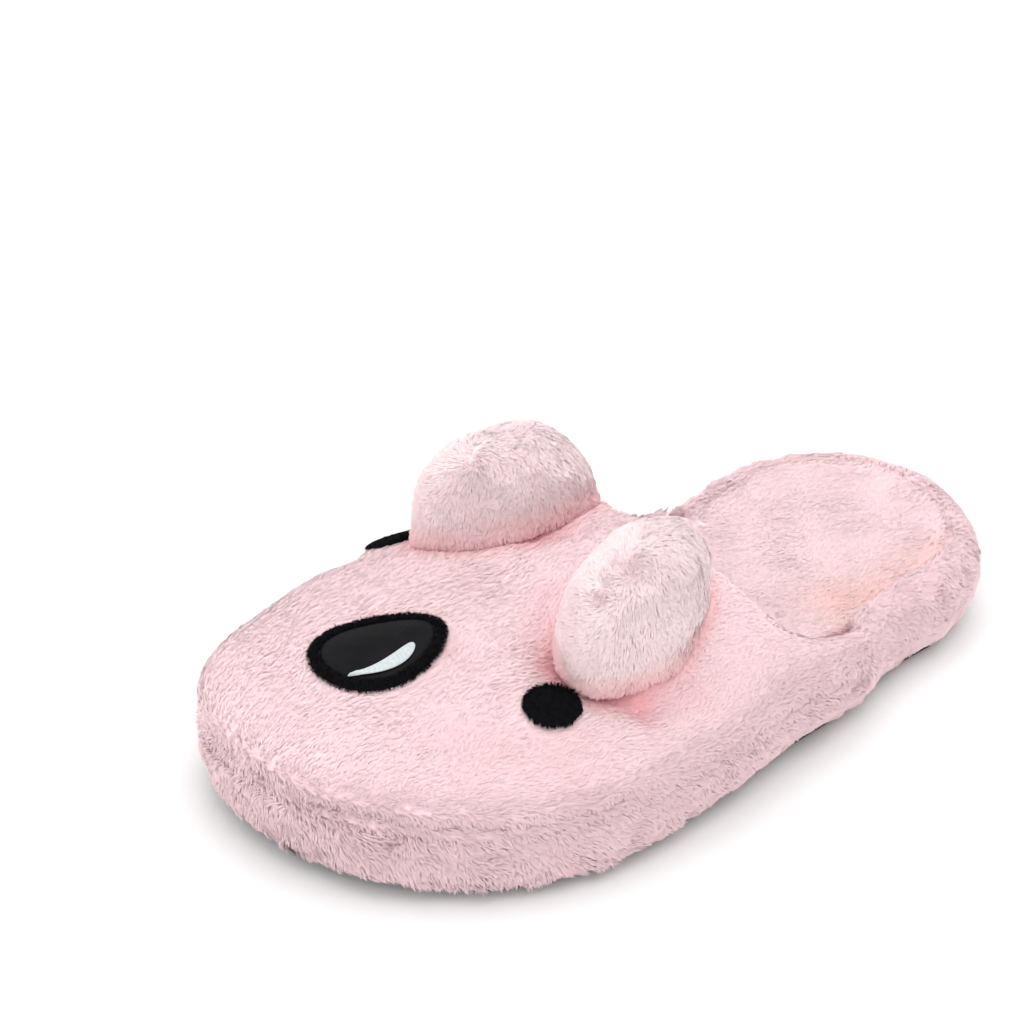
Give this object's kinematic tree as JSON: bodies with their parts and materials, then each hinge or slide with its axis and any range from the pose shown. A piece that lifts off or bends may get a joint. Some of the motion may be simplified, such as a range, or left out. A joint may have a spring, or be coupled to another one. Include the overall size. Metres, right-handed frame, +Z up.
{
  "type": "animal slipper",
  "caption": "Backless plush house slipper with a puffy padded toe, two stuffed round ears, a padded nose and small eyes on a thick foam sole wrapped in plush",
  "frame": {"origin": "on the floor plane, under the middle of the bounding box of the whole slipper", "axes": "-Y to the toe, +Y to the heel, +X to the little toe's side, +Z up from the floor"},
  "size_m": [0.136, 0.2724, 0.0911],
  "materials": {
    "sole_rubber": "matte moulded sole sheet",
    "plush": "short dense plush pile, pale pink",
    "lining_plush": "short brushed plush lining, pale pink",
    "ear_plush": "fluffy plush pile, pale pink",
    "nose_leather": "smooth black imitation leather, soft sheen",
    "black_stitching": "dense matte black embroidery",
    "glint_felt": "satin stitched white applique"
  },
  "bodies": {
    "root": {"outsole": "sole_rubber", "midsole": "plush", "insole": "lining_plush", "upper": "plush", "ear_lateral": "ear_plush", "ear_medial": "ear_plush", "nose_patch": "nose_leather", "nose_border": "black_stitching", "nose_glint": "glint_felt", "eye_lateral": "black_stitching", "eye_medial": "black_stitching"}
  },
  "joints": []
}
